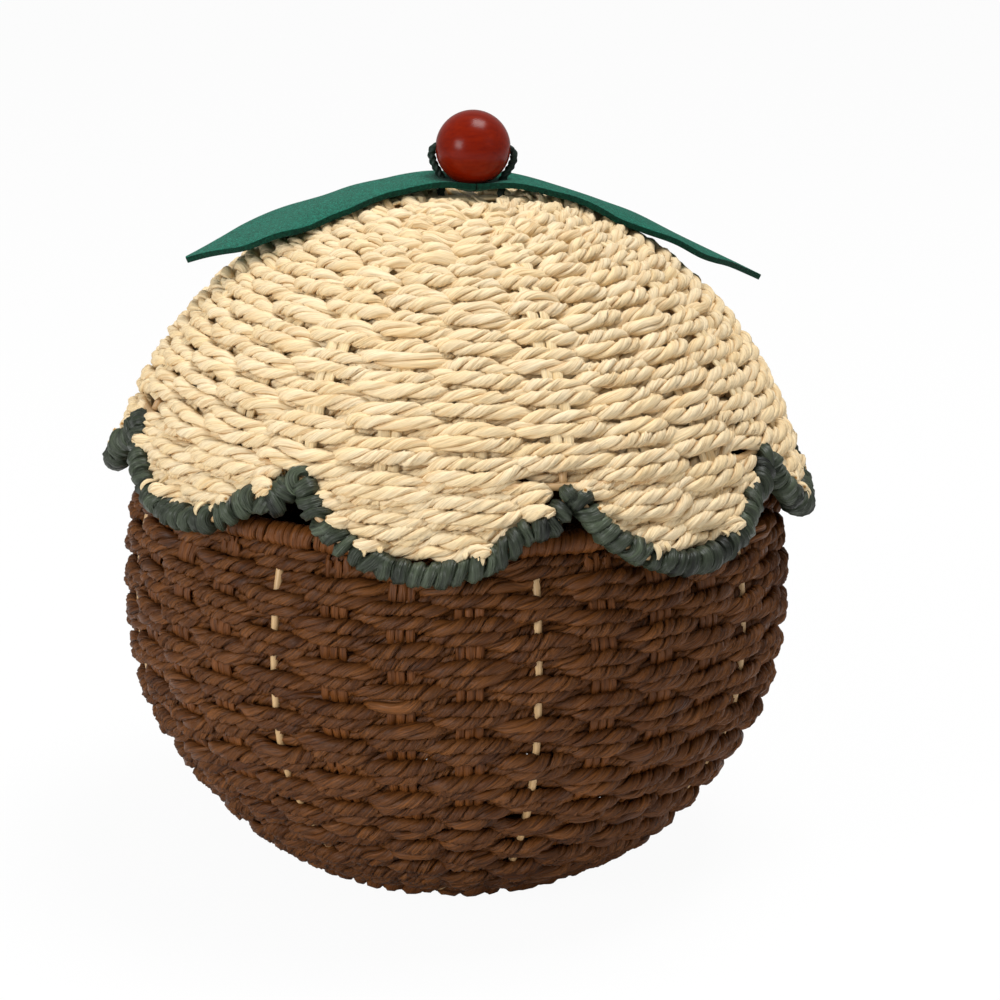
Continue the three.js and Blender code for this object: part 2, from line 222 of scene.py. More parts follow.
wall, dome, base = wall_line(), dome_line(), base_line()
print("wall", round(wall.length, 1), "mm long, dome", round(dome.length, 1))

# %% [markdown]
# ## Chance, in a repeatable way
# Hand weaving is never even. All unevenness comes from waves whose lengths and starts
# are drawn from one seeded generator, so the basket is the same at every run. A wave
# with a whole number of periods round the ring closes on itself.

# %% Uneven waves
rng = np.random.default_rng(20260)


def uneven(turn, low, high, size, count=6):
    """A sum of waves round the ring, with between `low` and `high` periods each."""
    total = np.zeros_like(turn)
    for _ in range(count):
        periods = rng.integers(low, high + 1)
        total += np.cos(periods * turn + rng.uniform(0, FULL_TURN))
    return size * total / math.sqrt(count / 2)


def drift_field(size, count=7):
    """A slow wobble that neighbouring ropes share, by the turn and the course."""
    periods = rng.integers(2, 9, count)
    climb = rng.uniform(-0.35, 0.35, count)
    start = rng.uniform(0, FULL_TURN, count)

    def field(turn, course):
        waves = [np.cos(m * turn + c * course + s)
                 for m, c, s in zip(periods, climb, start)]
        return size * sum(waves) / math.sqrt(count / 2)

    return field


# %% [markdown]
# ## Sweeping a section along a line
# Ropes and strands are curves: Blender sweeps a closed outline along each line and turns
# it by the line's tilt, which lays the rope's two plies round each other. Each point of
# the mesh also keeps its place on the straightened strand, as an attribute, so that the
# paper's fibres follow the strand wherever it bends.

# %% Sweeping


def outline_curve(outline):
    data = bpy.data.curves.new("outline", "CURVE")
    data.dimensions = "2D"
    loop = data.splines.new("POLY")
    loop.points.add(len(outline) - 1)
    corners = np.column_stack([outline, np.zeros(len(outline)), np.ones(len(outline))])
    loop.points.foreach_set("co", corners.ravel())
    loop.use_cyclic_u = True
    return new_object("outline", data)


def route_curve(routes, section):
    data = bpy.data.curves.new("routes", "CURVE")
    data.dimensions = "3D"
    data.twist_mode = "Z_UP"
    data.bevel_mode = "OBJECT"
    data.bevel_object = section
    for route in routes:
        count = len(route["points"])
        spline = data.splines.new("POLY")
        spline.points.add(count - 1)
        places = np.column_stack([route["points"], np.ones(count)])
        spline.points.foreach_set("co", places.ravel())
        spline.points.foreach_set("tilt", route["tilt"])
        spline.points.foreach_set("radius", route["swell"])
        spline.use_cyclic_u = route["closed"]
    return new_object("routes", data)


def crumple(route, outline, size):
    """Creases along the strand: how much each point of each section moves in or out. The
    absolute value of a wave has round tops and sharp grooves, as creased paper has."""
    count = len(route["points"])
    turn = whole_turn(count)[:, None]
    around = np.arctan2(outline[:, 1], outline[:, 0])[None, :]
    length = run_of(route["points"])[-1]
    total = np.zeros((count, len(outline)))
    for lobes in (1, 3, 4, 5, 7):
        periods = int(length / rng.uniform(9, 34)) * rng.choice([-1, 1])
        phase = periods * turn + lobes * around + rng.uniform(0, FULL_TURN)
        total += np.abs(np.cos(phase / 2)) - 0.64
    return 1 + size * total


def strand(points, tilt=0, swell=1, closed=False, turn=None):
    """A route for one strand. One with a `turn` is drawn lying flat, with its radius as X
    and its height as Y, and is stood up at that turn about the axis when it is swept."""
    count = len(points)
    return {
        "points": np.asarray(points, float),
        "tilt": np.broadcast_to(tilt, count).copy(),
        "swell": np.broadcast_to(swell, count).astype(float),
        "closed": closed,
        "turn": turn,
    }


def stood_up(places, turn):
    radius, height, side = places[..., 0], places[..., 1], -places[..., 2]
    c, s = math.cos(turn - math.pi / 2), math.sin(turn - math.pi / 2)
    return np.stack([radius * c - side * s, radius * s + side * c, height], axis=-1)


def swept(routes, outline, folds=0.1):
    """One mesh of all the routes, in millimetres, with its `lay` attribute."""
    outline = np.asarray(outline, float)
    section = outline_curve(outline)
    holder = route_curve(routes, section)
    depsgraph = bpy.context.evaluated_depsgraph_get()
    mesh = bpy.data.meshes.new_from_object(holder.evaluated_get(depsgraph))
    places = np.empty(len(mesh.vertices) * 3)
    mesh.vertices.foreach_get("co", places)
    places = places.reshape(-1, len(outline), 3)
    lay = np.empty_like(places)
    first = 0
    for route in routes:
        count = len(route["points"])
        rows = slice(first, first + count)
        centre = route["points"][:, None, :]
        size = crumple(route, outline, folds)
        places[rows] = centre + (places[rows] - centre) * size[:, :, None]
        if route["turn"] is not None:
            places[rows] = stood_up(places[rows], route["turn"])
        run = run_of(route["points"])
        if route["closed"]:  # there and back again, so that the paper has no seam
            run = run[-1] / 2 - np.abs(run - run[-1] / 2)
        lay[rows, :, 0] = run[:, None] + rng.uniform(0, 5000)
        lay[rows, :, 1] = outline[None, :, 0] * size
        lay[rows, :, 2] = outline[None, :, 1] * size
        first += count
    mesh.vertices.foreach_set("co", places.ravel())
    mesh.attributes.new("lay", "FLOAT_VECTOR", "POINT")
    mesh.attributes["lay"].data.foreach_set("vector", lay.ravel())
    bpy.data.objects.remove(holder)
    bpy.data.objects.remove(section)
    return mesh


def mesh_of(bm, name):
    mesh = bpy.data.meshes.new(name)
    bm.to_mesh(mesh)
    bm.free()
    return mesh


def close_ends(mesh):
    """Closes the open ends of a mesh's strands and turns its faces outwards."""
    bm = bmesh.new()
    bm.from_mesh(mesh)
    open_edges = [edge for edge in bm.edges if edge.is_boundary]
    if open_edges:
        bmesh.ops.holes_fill(bm, edges=open_edges, sides=0)
    if bm.calc_volume(signed=True) < 0:
        bmesh.ops.reverse_faces(bm, faces=bm.faces)
    bm.to_mesh(mesh)
    bm.free()
    return mesh


def settle(name, mesh, material, body, node):
    """Puts a finished mesh in its place, in metres, on its body. The lid's pieces and the
    bead are drawn in the lid's frame."""
    mesh.name = name
    mesh.transform(Matrix.Scale(MM, 4))
    if body != "basket":
        mesh.transform(lid_frame)
    mesh.shade_smooth()
    mesh.update()
    mesh.materials.append(material)
    triangles = sum(face.loop_total - 2 for face in mesh.polygons)
    piece = new_object(name, mesh)
    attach(piece, body)
    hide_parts(node)
    print(name, triangles, "triangles")


# %% [markdown]
# ## Materials
# Paper rope is kraft paper, twisted: matt, with long fine fibres and creases along each
# ply. Its creases and the groove between the plies are darkened as painted shade. A node
# tree reads the `lay` attribute, whose first number runs along the strand, so a noise that
# is stretched along it draws fibres and folds at their real size.

# %% Material helpers


def linear(code):
    """An sRGB hex colour as the linear one that the shaders take."""
    parts = [int(code[i:i + 2], 16) / 255 for i in (1, 3, 5)]
    return tuple(c / 12.92 if c <= 0.04045 else ((c + 0.055) / 1.055) ** 2.4
                 for c in parts) + (1,)


def add(tree, kind, settings=None, out=0, **links):
    """Adds a shader node, with its settings and with links from other nodes' sockets, and
    gives one of its outputs."""
    node = tree.nodes.new("ShaderNode" + kind)
    for key, value in (settings or {}).items():
        if isinstance(key, int) or key in node.inputs:
            node.inputs[key].default_value = value
        else:
            setattr(node, key, value)
    for key, source in links.items():
        socket = node.inputs[int(key[1:])] if key[1:].isdigit() else node.inputs[
            key.replace("_", " ")]
        tree.links.new(source, socket)
    return node.outputs[out] if node.outputs else None


def mixed(tree, settings, **links):
    """Mixes two colours. Input 0 is the share of the second one."""
    return add(tree, "Mix", {"data_type": "RGBA", **settings}, out=2, **links)


def new_material(name):
    material = bpy.data.materials.new(name)
    material.use_nodes = True
    material.node_tree.nodes.clear()
    return material, material.node_tree


def stretched_noise(tree, source, along, across, detail=3.0):
    """Noise whose grains are `along` millimetres long and `across` millimetres wide."""
    scaled = add(tree, "Mapping", {"Scale": (1 / along, 1 / across, 1 / across)},
                 Vector=source)
    return add(tree, "TexNoise", {"Scale": 1.0, "Detail": detail, "Roughness": 0.6},
               Vector=scaled)


def bumped(tree, height, strength, distance, under=None):
    """A normal that is bent by a height of so many millimetres."""
    links = {"Normal": under} if under else {}
    return add(tree, "Bump", {"Strength": strength, "Distance": distance * MM},
               Height=height, **links)


def finished(material, settings, **links):
    """Ends a material's tree with its shader."""
    tree = material.node_tree
    add(tree, "OutputMaterial", Surface=add(tree, "BsdfPrincipled", settings, **links))
    return material


def graded(tree, value, low, high, dark, light):
    """A ramp from one colour at `low` to another at `high`."""
    ramp = add(tree, "ValToRGB", Fac=value)
    first, second = ramp.node.color_ramp.elements
    first.position, second.position = low, high
    first.color, second.color = linear(dark), linear(light)
    return ramp


def paper(name, dark, light, painted_shade, roughness, crease, fibre=0.6, shine=0.2,
          groove_shade_from=0.0, groove_shade_to=0.3):
    """Kraft paper, with painted shade in its creases and in the groove between the plies.
    The groove lies near the strand's axis, between the two given distances from it."""
    material, tree = new_material(name)
    lay = add(tree, "Attribute", {"attribute_name": "lay"}, out="Vector")
    patches = stretched_noise(tree, lay, 40, 9, 2)
    creases = stretched_noise(tree, lay, 13, 1.2, 2)
    fibres = stretched_noise(tree, lay, 8, 0.42, 2)
    colour = graded(tree, patches, 0.3, 0.7, dark, light)
    streaks = graded(tree, fibres, 0.3, 0.7, "#8f8f8f", "#ffffff")
    # painted shade: the crease noise darkens the colour towards the third colour, as shade
    # in the creases
    folds = graded(tree, creases, 0.33, 0.5, painted_shade, "#ffffff")
    for layer, share in ((streaks, fibre), (folds, 0.4)):
        colour = mixed(tree, {"blend_type": "MULTIPLY", 0: share}, n6=colour, n7=layer)
    # painted shade in the groove between the plies, near the strand's axis
    across = add(tree, "VectorMath", {"operation": "MULTIPLY", 1: (0, 1, 1)}, n0=lay)
    reach = add(tree, "VectorMath", {"operation": "LENGTH"}, out="Value", n0=across)
    depth = add(tree, "MapRange", {"From Min": groove_shade_from, "From Max": groove_shade_to,
                                   "interpolation_type": "SMOOTHSTEP"}, Value=reach)
    shaded = mixed(tree, {"blend_type": "MULTIPLY", 0: 1.0, 7: linear(painted_shade)}, n6=colour)
    colour = mixed(tree, {}, n0=depth, n6=shaded, n7=colour)
    creased = bumped(tree, creases, 1.0, crease)
    normal = bumped(tree, fibres, fibre + 0.1, 0.2, creased)
    return finished(material, {"Roughness": roughness, "Specular IOR Level": shine},
                    Base_Color=colour, Normal=normal)


# the third colour of each paper is its painted shade, for the creases and the ply groove
brown_paper = paper("brown_twisted_paper", "#562e0e", "#835024", "#3a2617", roughness=0.48,
                    crease=0.7, fibre=0.9, groove_shade_from=0.95, groove_shade_to=1.95)
cream_paper = paper("cream_twisted_paper", "#eed3a3", "#f4e0bb", "#c59f68", roughness=0.6,
                    crease=0.5, fibre=0.35, groove_shade_from=1.0, groove_shade_to=1.9)
brown_strip = paper("brown_flat_paper", "#5f340f", "#7f4b20", "#4c3626", roughness=0.48,
                    crease=0.9)
cream_strip = paper("cream_flat_paper", "#ecd2a1", "#f1dcb4", "#cdb083", roughness=0.6,
                    crease=0.6, fibre=0.4)
green_strip = paper("green_flat_paper", "#0f140c", "#59644f", "#3c3d30", roughness=0.42,
                    crease=1.3, fibre=0.9, shine=0.3)
print("paper materials made")


def cane(name):
    """Coated steel wire in a tan colour, with faint drawn streaks."""
    material, tree = new_material(name)
    lay = add(tree, "Attribute", {"attribute_name": "lay"}, out="Vector")
    streaks = stretched_noise(tree, lay, 14, 0.5, 2)
    return finished(material, {"Roughness": 0.45},
                    Base_Color=graded(tree, streaks, 0.25, 0.75, "#b08a5c", "#d2b181"))


def painted_wood(name):
    """Beech turned to a ball, dipped in red stain and lacquered: a soft clear gloss."""
    material, tree = new_material(name)
    where = add(tree, "TexCoord", out="Object")
    grain = add(tree, "Mapping", {"Scale": (120, 900, 900)}, Vector=where)
    noise = add(tree, "TexNoise", {"Scale": 1.0, "Detail": 3.0}, Vector=grain)
    return finished(material, {"Roughness": 0.24, "Specular IOR Level": 0.13},
                    Base_Color=graded(tree, noise, 0.3, 0.7, "#661000", "#741700"),
                    Normal=bumped(tree, noise, 0.25, 0.05))


def felt(name, dark, light, hair_dark, hair_light):
    """Pressed wool: fuzzy, and heathered with lighter fibres."""
    material, tree = new_material(name)
    where = add(tree, "TexCoord", out="Object")
    point = add(tree, "Mapping", {"Scale": (1 / MM, 1 / MM, 1 / MM)}, Vector=where)
    hairs = add(tree, "TexNoise", {"Scale": 1.6, "Detail": 4.0, "Distortion": 1.2},
                Vector=point)
    mottle = add(tree, "TexNoise", {"Scale": 0.35, "Detail": 3.0}, Vector=point)
    base_colour = graded(tree, mottle, 0.3, 0.7, dark, light)
    heather = graded(tree, hairs, 0.42, 0.7, hair_dark, hair_light)
    colour = mixed(tree, {0: 0.5}, n6=base_colour, n7=heather)
    return finished(material, {"Roughness": 0.95, "Sheen Weight": 0.06,
                               "Sheen Roughness": 0.5, "Specular IOR Level": 0.15},
                    Base_Color=colour, Normal=bumped(tree, hairs, 0.8, 0.35))


tan_wire = cane("tan_coated_wire")
red_wood = painted_wood("red_lacquered_wood")
green_felt = felt("green_wool_felt", "#034636", "#065744", "#002c21", "#2a9e84")
# a darker copy of the felt for the cut edge: painted shade, as the edge faces down and away
# from the lamps
green_felt_cut_painted_shade = felt("green_wool_felt_cut_painted_shade", "#02251b", "#043526", "#001a12", "#0d5240")
dark_cord = paper("dark_waxed_cord", "#12211b", "#22362d", "#555555", roughness=0.5,
                  crease=0.2, groove_shade_from=0.3, groove_shade_to=1.1)
print("other materials made")

# %% [markdown]
# ## The rope
# The rope is two soft plies laid round each other. Its section is therefore two round
# lobes with a waist between them. A full turn of the section every 12 to 16 mm, or 16 to
# 21 mm in the lid, gives the slanting lay. Points are listed clockwise, which makes
# Blender's sweep face outwards.

# %% Rope outline


def two_plies(size, apart=0.41, high=0.8, waist=0.5):
    """Two ellipses side by side, `size` from the middle to the tip. The other numbers are
    shares of it: how far apart and how high the ellipses are, and how high the waist."""
    lobe = np.radians(np.linspace(-120, 120, 8))
    right = np.column_stack([apart + (1 - apart) * np.cos(lobe), high * np.sin(lobe)])
    half = np.vstack([right, [[0, waist]]])
    return size * np.vstack([half, -half])[::-1]


def flat_strip(wide, thick, sides=10):
    """A strip of soft paper: a flat oval with blunt ends."""
    a = whole_turn(sides)
    across = np.sign(np.cos(a)) * np.abs(np.cos(a)) ** 0.7 * wide / 2
    return np.column_stack([across, np.sin(a) * thick / 2])[::-1]


def round_wire(radius, sides=12):
    a = whole_turn(sides)
    return radius * np.column_stack([np.cos(a), np.sin(a)])[::-1]


rope_outline = two_plies(2.5, apart=0.37, high=0.84, waist=0.58)
print("rope outline of", len(rope_outline), "points")

# %% [markdown]
# ## Courses of the weave
# Every course is a pair of ropes that goes outside one upright and inside the next. The
# pair lies close over an upright and is squeezed between its neighbours half-way to the
# next, where the ropes shift in and out to make room.

# %% Courses


def smoothed(wave):
    """Flattens a wave's tops, because a rope lies along an upright before it turns in."""
    return (3 * wave - wave ** 3) / 2


def course(surface, along, uprights, first, sign, pitch, drift, deep, half, twist, unrest,
           pinch=0.0):
    """The two ropes of one course, as closed routes. They swing `deep` to either side of
    the uprights, lie `half` above and below the course's line, make a full turn every
    `twist` millimetres (from, to), and are drawn together by `pinch` over a rib. The
    courses lie `pitch` apart, and up to `unrest` waves round the ring vary the twist."""
    radius = surface.radius_at(along)
    count = int(FULL_TURN * radius / STEP)
    turn = math.pi + whole_turn(count)
    from_first = turn - math.radians(first)
    wave = sign * smoothed(np.cos(uprights / 2 * from_first))
    routes = []
    shared = drift(turn, along / 6) * min(1, radius / 60)
    over_rib = np.maximum(0, np.cos(8 * from_first)) ** 8
    half = half * (1 - pinch * over_rib)
    for side in (-1, 1):
        apart = half * np.abs(wave) + pitch / 4 * (1 - np.abs(wave))
        own = uneven(turn, 9, 34, 0.2)
        outside = deep * wave + side * 0.7 * (1 - wave ** 2) + uneven(turn, 12, 40, 0.22)
        twists = round(FULL_TURN * radius / rng.uniform(*twist))
        tilt = uneven(turn, 3, unrest, 0.8) + rng.uniform(0, FULL_TURN) - twists * turn
        routes.append(strand(
            surface.place(along + side * apart + shared + own, outside, turn),
            tilt, max(1, pitch / 6.1) * (1 + uneven(turn, 6, 40, 0.05)), True,
        ))
    return routes


def uprights_of(count, first, skip=None):
    """Turns of the uprights with their numbers, leaving out every `skip`-th one."""
    return [(i, math.radians(first + 360 / count * i)) for i in range(count)
            if not skip or i % skip]


def upright(surface, start, end, bend, turn, offsets, lift=0.0):
    """Strips side by side that climb the surface in a plane through the axis."""
    strips = []
    for offset in offsets:
        along = np.linspace(start, end, max(8, int((end - start) / 2.2)))
        share = np.linspace(0, 1, len(along))
        sway = uneven(share * math.pi, 2, 7, 0.25)
        radius, height = surface.flat(along, lift + bend(along))
        line = np.column_stack([radius, height, offset + sway])
        lean = math.pi / 2 + uneven(share * math.pi, 1, 5, 0.16)
        swell = 1 + uneven(share * math.pi, 2, 9, 0.06)
        strips.append(strand(line, lean, swell, turn=turn))
    return strips


# %% [markdown]
# ## The basket's wall
# There are 25 courses. Where a course runs behind a rib, the bare wire shows, and the
# photograph gives the heights of those places, so the courses are set by them. The other
# courses lie half-way between.

# %% Wall courses
bare_heights = [16.5, 26.6, 37.1, 47.2, 59, 72, 84.3, 97.6, 110.8, 122.7]
wall_run = np.interp(bare_heights, wall.points[:, 1], wall.run)
low_gap = (wall_run[0] - 6.5) / 5
wall_alongs = sorted(
    list(wall_run) + list((wall_run[1:] + wall_run[:-1]) / 2)
    + [wall_run[0] - low_gap * i for i in range(1, 6)] + [wall_run[-1] + 8]
)
TOP = len(wall_alongs) - 1  # the top course's number
print(TOP + 1, "courses at", [round(x, 1) for x in wall_alongs])
wall_drift = drift_field(0.75)


def wall_routes():
    routes = []
    for k, along in enumerate(wall_alongs):
        near = wall_alongs[max(0, k - 1)], wall_alongs[min(TOP, k + 1)]
        pitch = (near[1] - near[0]) / 2 if 0 < k < TOP else 6.2
        sign = 1 if (TOP - k) % 2 == 0 else -1
        calm = min(1, 0.2 + (wall.length - along) / 25)  # the rim holds the top ones level
        routes += course(
            wall, along, 32, BODY_FIRST, sign, pitch,
            lambda turn, number: calm * wall_drift(turn, number),
            deep=2.0 if k < TOP else 1.2, half=min(2, 0.33 * pitch), twist=(12, 16),
            unrest=34, pinch=0.18 if k < TOP - 1 else 0,
        )
    return routes


all_wall = wall_routes()
for group in range(5):
    ropes = all_wall[10 * group:10 * group + 10]
    settle(f"wall_ropes_{group + 1}", swept(ropes, rope_outline), brown_paper, "basket",
           "body_weave")

# %% Wall uprights


def wall_bend(number):
    """An upright gives way a little, against the rope that presses on it."""
    def bend(along):
        k = np.interp(along, wall_alongs, np.arange(TOP + 1))
        return -0.8 * np.cos(math.pi * (TOP - k + number))
    return bend


STRIP_FOLDS = 0.14
strips = []
for number, turn in uprights_of(32, BODY_FIRST, skip=4):
    strips += upright(wall, -2, wall.length + 6, wall_bend(number), turn, (-3, 0, 3))
settle("wall_uprights", close_ends(swept(strips, flat_strip(3, 1.6), STRIP_FOLDS)),
       brown_strip, "basket", "body_weave")


def wire(line, **kind):
    """Wire along a line."""
    return swept([strand(line, **kind)], round_wire(WIRE), 0)


def rib_wire(surface, start, end, turn):
    along = np.linspace(start, end, 60)
    radius, height = surface.flat(along, 0.0)
    line = np.column_stack([radius, height, np.zeros(60)])
    return close_ends(wire(line, turn=turn))


for i, turn in uprights_of(8, BODY_FIRST):
    settle(f"wall_rib_wire_{i + 1}", rib_wire(wall, 8, wall.length - 2.4, turn), tan_wire,
           "basket", f"body_rib_{i + 1}")

# %% [markdown]
# ## Wound rims
# The rim, the foot and the lid's edge are wires wound with a flat strand. The strand is
# first swept as a plain closed strip with a section for every step of every wrap. Each
# section is then moved to its place on the coil, with its own width, bulge and lean.

# %% Windings


def periodic(count, size):
    """Chance values for each wrap, read at any place round the ring."""
    values = rng.normal(0, size, count)
    values = np.append(values, values[0])
    return lambda share: np.interp(share * count, np.arange(count + 1), values)


def winding(frame_at, wraps, steps, wide, thick, reach, sides, loose, bulge):
    """A strand wound round a closed ring. `frame_at` gives the ring's middle line and its
    directions along, outwards and upwards, for shares of the way round. The strand's
    middle lies `reach` from the line. `loose` is how much the wraps differ."""
    outline = flat_strip(2, 2, sides)
    count = wraps * steps
    share = np.arange(count) / count
    circle = np.column_stack([np.sin(FULL_TURN * share), np.cos(FULL_TURN * share),
                              0 * share])
    mesh = swept([strand(100 * circle, closed=True)], outline, 0)
    turn = (share * wraps * FULL_TURN)[:, None]
    share = share[:, None]
    across, above = outline[None, :, 0], outline[None, :, 1]
    width = wide / 2 * (1 + periodic(wraps, loose)(share))
    height = thick / 2 * (1 + periodic(wraps, loose)(share))
    shift = periodic(2 * wraps, 3)(share)
    folds = sum(np.abs(np.cos(k * across + m * turn / 2 + shift)) - 0.64
                for k, m in ((4, 1), (6, -1), (9, 2))) * 0.2 * thick
    away = reach + periodic(wraps * 2, 0.1 * thick)(share) + above * height
    away = away + np.where(above > 0, folds, 0) - bulge * thick * across ** 2
    lean = periodic(wraps, 0.14 * wide)(share) * np.cos(turn)
    lean = lean + periodic(wraps, 0.14 * wide)(share) * np.sin(turn)
    middle, along, out, up = (part[:, None, :] for part in frame_at(share[:, 0]))
    place = middle + along * (across * width + lean)[:, :, None]
    place = place + (out * np.cos(turn)[:, :, None] + up * np.sin(turn)[:, :, None]
                     ) * away[:, :, None]
    mesh.vertices.foreach_set("co", place.ravel())
    lay = np.stack(np.broadcast_arrays(turn * reach, across * wide / 2, above * thick),
                   axis=-1)
    mesh.attributes["lay"].data.foreach_set("vector", lay.ravel())
    return close_ends(mesh)


def ring_frame(radius, height):
    def at(share):
        turn = share * FULL_TURN
        zero = np.zeros_like(turn)
        out = around(1, turn, 0)
        along = np.column_stack([np.cos(turn), np.sin(turn), zero])
        up = np.column_stack([zero, zero, zero + 1])
        return radius * out + height * up, along, out, up
    return at


def ring_wire(radius, height):
    return wire(around(radius, whole_turn(160), height), closed=True)


def wound_ring(name, radius, height, **how):
    """A ring of wire in the basket, with its winding."""
    settle(f"{name}_winding", winding(ring_frame(radius, height), **how), brown_strip,
           "basket", f"{name}_binding")
    settle(f"{name}_ring_wire", ring_wire(radius, height), tan_wire, "basket",
           f"{name}_wire")


wound_ring("rim", RIM_RADIUS, RIM_LINE, wraps=255, steps=14, wide=3.2, thick=1.3,
           reach=RIM_TUBE - 0.75, sides=10, loose=0.15, bulge=0.4)
wound_ring("foot", FOOT_RADIUS, FOOT_LINE, wraps=50, steps=20, wide=7.6, thick=2.4,
           reach=FOOT_TUBE - 1.7, sides=14, loose=0.2, bulge=0.4)

# %% [markdown]
# ## The base
# The base is a flat disc woven the same way, over eight bundles near the middle and
# sixteen further out. The bundles cross in the centre.

# %% Base
base_drift = drift_field(0.25)


def base_courses(pitch):
    routes = []
    for k, along in enumerate(np.arange(9.5, 47, pitch)):
        uprights = 8 if along < 24 else 16
        routes += course(base, along, uprights, BODY_FIRST, 1 if k % 2 else -1, pitch,
                         base_drift, deep=2.0, half=2.0, twist=(12, 16), unrest=14)
    return routes


settle("base_ropes", swept(base_courses(pitch=5.7), rope_outline), brown_paper, "basket",
       "base_weave")

strips = []
for number, turn in uprights_of(16, BODY_FIRST):
    start = 0.5 if number % 2 == 0 else 20
    strips += upright(base, start, 49, np.zeros_like, turn, (-1.7, 1.7))
settle("base_uprights", close_ends(swept(strips, flat_strip(3.4, 1.4), STRIP_FOLDS)),
       brown_strip, "basket", "base_weave")

# %% [markdown]
# ## The lid's dome
# The lid is woven from slightly thicker cream rope, in tighter courses. Its 24 uprights
# are two flat strips each. Every third one lies over a wire rib, which is bare only at
# its foot, beside a valley of the edge.

# %% Dome courses
cream_outline = two_plies(2.6)
dome_drift = drift_field(0.7)


def along_of(angle):
    """How far from the dome's centre the line reaches this angle above the horizontal."""
    angles = np.arctan2(dome.points[:, 1], dome.points[:, 0])
    return float(np.interp(-angle, -angles, dome.run))


dome_alongs = [along_of(math.radians(25.2 + 2.6 * k)) for k in range(23)]
print(len(dome_alongs), "lid courses, the innermost at radius",
      round(dome.radius_at(dome_alongs[-1])))


def hump(place, middle, width):
    """A smooth hump of height one."""
    return np.exp(-((place - middle) / width) ** 2)


def outer_drift(turn, number):
    """The outermost course draws back left of each valley, where the hoop lies bare."""
    place = (turn - math.radians(VALLEY_TURN)) / math.radians(45)
    return dome_drift(turn, number) - 2.6 * hump(place - np.floor(place), 0.87, 0.1)


def dome_routes():
    routes = []
    for k, along in enumerate(dome_alongs):
        uprights = 8 if dome.radius_at(along) < 30 else 24
        drift = outer_drift if k == 0 else dome_drift
        routes += course(
            dome, along, uprights, VALLEY_TURN, -1 if k % 2 == 0 else 1, pitch=5.25,
            drift=drift, deep=2.3, half=2.15, twist=(16, 21), unrest=18,
        )
    return routes


all_dome = dome_routes()
for group, (start, end) in enumerate(((0, 10), (10, 22), (22, 46))):
    settle(f"dome_ropes_{group + 1}", swept(all_dome[start:end], cream_outline),
           cream_paper, "lid", "lid_weave")


def dome_bend(number):
    """The same for the dome."""
    def bend(along):
        k = np.interp(-along, -np.array(dome_alongs), np.arange(len(dome_alongs)))
        return 0.8 * np.cos(math.pi * (k + number))
    return bend


# %% [markdown]
# ## The scalloped edge
# The edge line repeats the CAD's: each lobe is an arc, the valleys between them are
# rounded, and every point lies on a sphere just inside the dome's. As in the photograph,
# no two lobes hang quite alike. At each valley the wire dips on the left and stands
# higher on the right.

# %% Edge line
VALLEY_RISE, LOBE_RISE, VALLEY_ROUNDING = 43, 20, 0.06
LOBE_DEPTHS = np.array([1, 1, 0.98, 1.02, 0.97, 1.01, 0.85, 1])
VALLEY_DIPS = np.array([3, 0.5, 1.5, 2, 1, 2, 1.5, 4])
LEFT_ARM_RISE, RIGHT_ARM_RISE = 2.5, 2.2
HALF_LOBE = EDGE_RADIUS * math.cos(
    math.asin((VALLEY_RISE + LOBE_RISE) / 2 / EDGE_RADIUS)) * math.pi / LOBES
LOBE_ARC = (HALF_LOBE ** 2 + (VALLEY_RISE - LOBE_RISE) ** 2) / 2 / (VALLEY_RISE - LOBE_RISE)


def edge_angle(place):
    """How high the edge line stands, as an angle at the sphere's centre."""
    from_middle = np.abs(2 * (place - np.floor(place)) - 1)
    from_valley = np.hypot(1 - from_middle, VALLEY_ROUNDING) - VALLEY_ROUNDING
    along = HALF_LOBE * (1 - from_valley)
    height = LOBE_RISE + LOBE_ARC - np.sqrt(LOBE_ARC ** 2 - along ** 2)
    depth = LOBE_DEPTHS[np.floor(place).astype(int) % LOBES]
    height = VALLEY_RISE - depth * (VALLEY_RISE - height)
    valley = np.round(place).astype(int)
    beyond = place - valley
    height = height + RIGHT_ARM_RISE * hump(beyond, 0.04, 0.045)
    height = height + LEFT_ARM_RISE * hump(beyond, -0.17, 0.07)
    height = height - VALLEY_DIPS[valley % LOBES] * hump(beyond, -0.06, 0.05)
    return np.arcsin(height / EDGE_RADIUS)


def edge_middle(place):
    angle = edge_angle(place)
    turn = np.radians(VALLEY_TURN + 45 * place)
    flat = EDGE_RADIUS * np.cos(angle)
    return around(flat, turn, EDGE_RADIUS * np.sin(angle))


# Equal steps along the edge, because a winding goes on at the same pace everywhere
fine_places = np.linspace(0, LOBES, 3201)
edge_run = run_of(edge_middle(fine_places))
print("the edge is", round(edge_run[-1]), "mm long")


def edge_frame(share):
    place = np.interp(share * edge_run[-1], edge_run, fine_places)
    middle = edge_middle(place)
    along = edge_middle(place + 0.004) - edge_middle(place - 0.004)
    along /= np.linalg.norm(along, axis=1)[:, None]
    out = middle / np.linalg.norm(middle, axis=1)[:, None]
    return middle, along, out, np.cross(out, along)


EDGE_OUTSIDE = EDGE_TUBE + CLEARANCE  # reach of the finished winding from the edge line
edge = winding(edge_frame, wraps=184, steps=18, wide=5.5, thick=2.8,
               reach=EDGE_TUBE - 1.3, sides=20, loose=0.15, bulge=0.45)
settle("edge_winding", edge, green_strip, "lid", "edge_binding")
edge_line = edge_middle(np.linspace(0, LOBES, 480, endpoint=False))
settle("edge_core_wire", wire(edge_line, closed=True), tan_wire, "lid",
       "edge_wire")
hoop_flat = math.sqrt(HOOP_RADIUS ** 2 - HOOP_RISE ** 2)
settle("hoop_wire", ring_wire(hoop_flat, HOOP_RISE), tan_wire, "lid",
       "lid_hoop")

# %% Dome uprights


